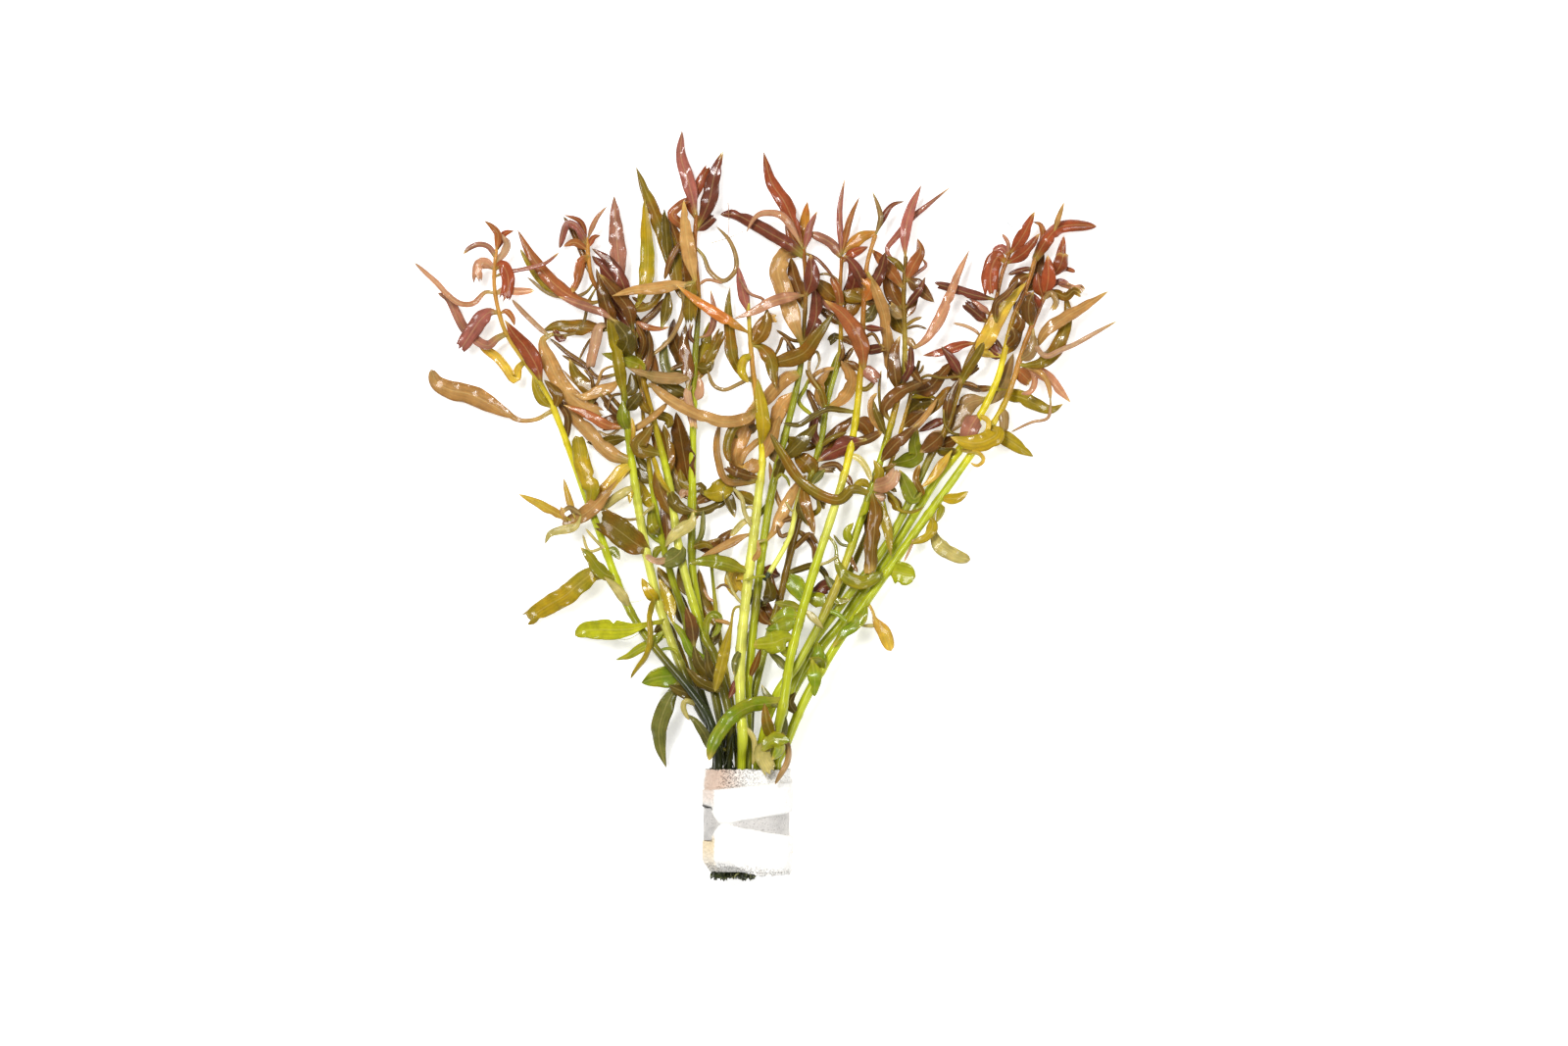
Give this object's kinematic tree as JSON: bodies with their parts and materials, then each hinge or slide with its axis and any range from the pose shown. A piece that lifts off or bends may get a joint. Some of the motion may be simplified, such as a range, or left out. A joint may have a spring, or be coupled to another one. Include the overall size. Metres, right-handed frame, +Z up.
{
  "type": "bunch of aquarium plant stems",
  "caption": "Cut water plant stems with long, thin, torn copper and green leaves, bundled at the base in a pale foam sleeve held by a soft metal strip, lying flat.",
  "frame": {"origin": "centre of the flat underside of the foam sleeve, where the bunch rests", "axes": "+X to the right seen from above with the foam nearest, +Y from the foam out along the stems, +Z up"},
  "size_m": [0.2291, 0.2435, 0.0284],
  "materials": {
    "foam": "open-cell foam, off-white, dusted with dark grit, pink and beige where stained",
    "soft_metal": "dull soft metal strip, grey, dented and speckled",
    "stem": "wet plant stem, yellow-green turning copper above and dark brown at the base",
    "leaf": "thin wet translucent leaf, copper, rust, olive and green with a pale midrib"
  },
  "bodies": {
    "root": {"foam_sleeve": "foam", "leaf_01": "leaf", "leaf_02": "leaf", "leaf_03": "leaf", "leaf_04": "leaf", "leaf_05": "leaf", "leaf_06": "leaf", "leaf_07": "leaf", "leaf_08": "leaf", "leaf_09": "leaf", "leaf_10": "leaf", "leaf_11": "leaf", "leaf_12": "leaf", "leaf_13": "leaf", "leaf_14": "leaf", "leaf_15": "leaf", "leaf_16": "leaf", "leaf_17": "leaf", "leaf_18": "leaf", "leaf_19": "leaf", "leaf_20": "leaf", "leaf_21": "leaf", "leaf_22": "leaf", "leaf_23": "leaf", "leaf_24": "leaf", "leaf_25": "leaf", "leaf_26": "leaf", "leaf_27": "leaf", "leaf_28": "leaf", "leaf_29": "leaf", "leaf_30": "leaf", "leaf_31": "leaf", "leaf_32": "leaf", "leaf_33": "leaf", "leaf_34": "leaf", "leaf_35": "leaf", "leaf_36": "leaf", "leaf_37": "leaf", "leaf_38": "leaf", "leaf_39": "leaf", "leaf_40": "leaf", "metal_strip": "soft_metal", "stem_01": "stem", "stem_02": "stem", "stem_03": "stem", "stem_04": "stem", "stem_05": "stem", "stem_06": "stem", "stem_07": "stem", "stem_08": "stem", "stem_09": "stem", "stem_10": "stem", "stem_11": "stem", "stem_12": "stem", "stem_13": "stem", "stem_14": "stem", "stem_15": "stem", "stem_16": "stem"}
  },
  "joints": []
}
